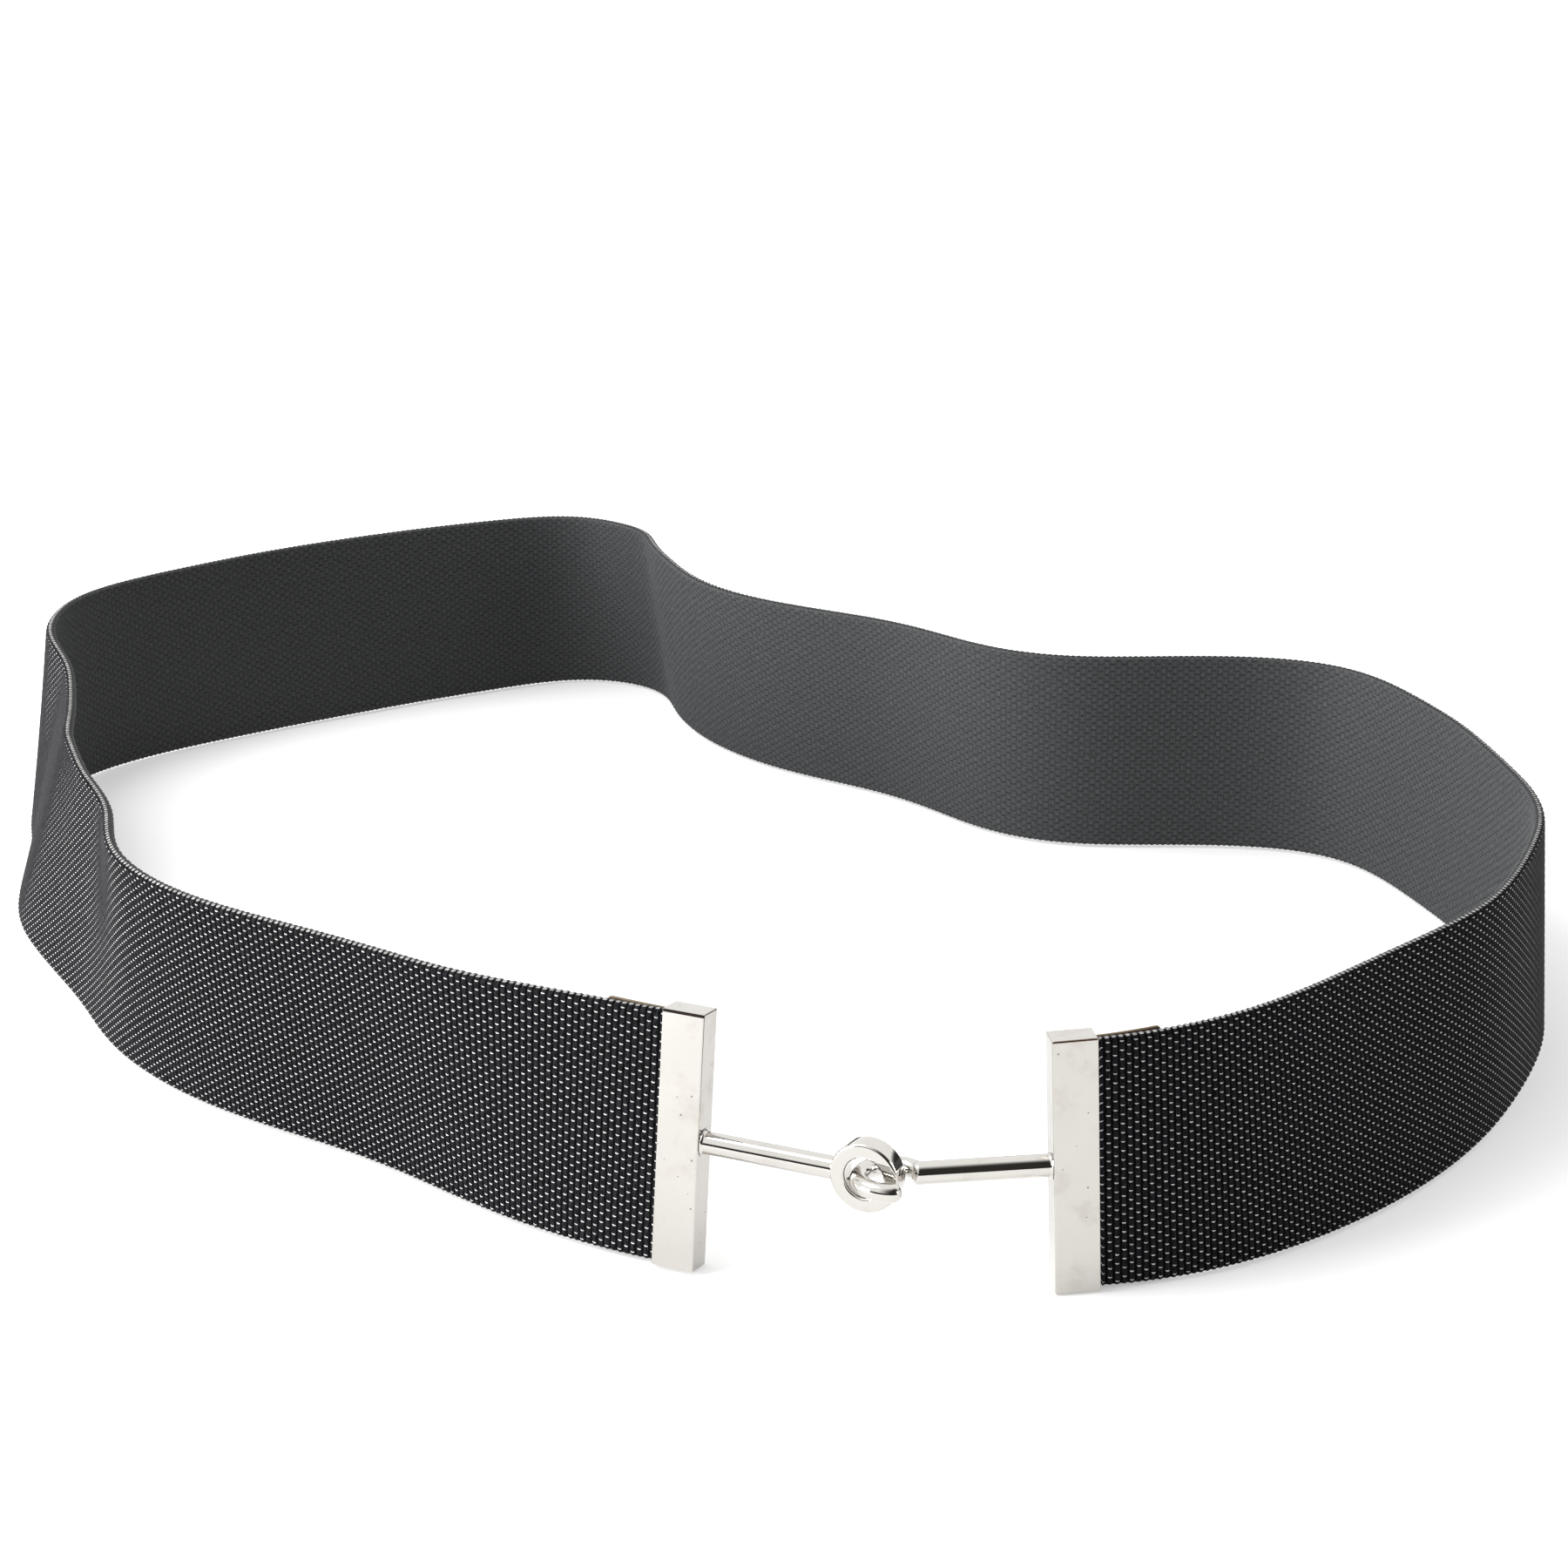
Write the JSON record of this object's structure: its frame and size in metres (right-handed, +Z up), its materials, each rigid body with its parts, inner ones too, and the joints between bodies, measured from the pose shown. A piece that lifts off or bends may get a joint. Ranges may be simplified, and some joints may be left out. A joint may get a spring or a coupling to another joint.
{
  "type": "woven webbing belt with ring-and-hook clasp",
  "caption": "Belt of black woven webbing standing on its edge in an open, uneven loop, closed by a metal ring and hook on rods between end bars.",
  "frame": {"origin": "middle of the base of the whole belt, on the surface that it stands on", "axes": "+Z up across the webbing's width, clasp at the front towards -Y, ring side to -X and hook side to +X"},
  "size_m": [0.277, 0.2994, 0.0389],
  "materials": {
    "webbing_black": "coarse near-black webbing with small grey dashes",
    "brown_leather": null,
    "bar_steel": "silver-coloured, satin-polished, with faint scratches",
    "clasp_steel": "silver-coloured, bright-polished"
  },
  "bodies": {
    "root": {"webbing": "webbing_black", "leather_tab_ring_side": "brown_leather", "leather_tab_hook_side": "brown_leather", "end_bar_ring_side": "bar_steel", "end_bar_hook_side": "bar_steel", "ring_rod": "clasp_steel", "hook_rod": "clasp_steel"}
  },
  "joints": []
}
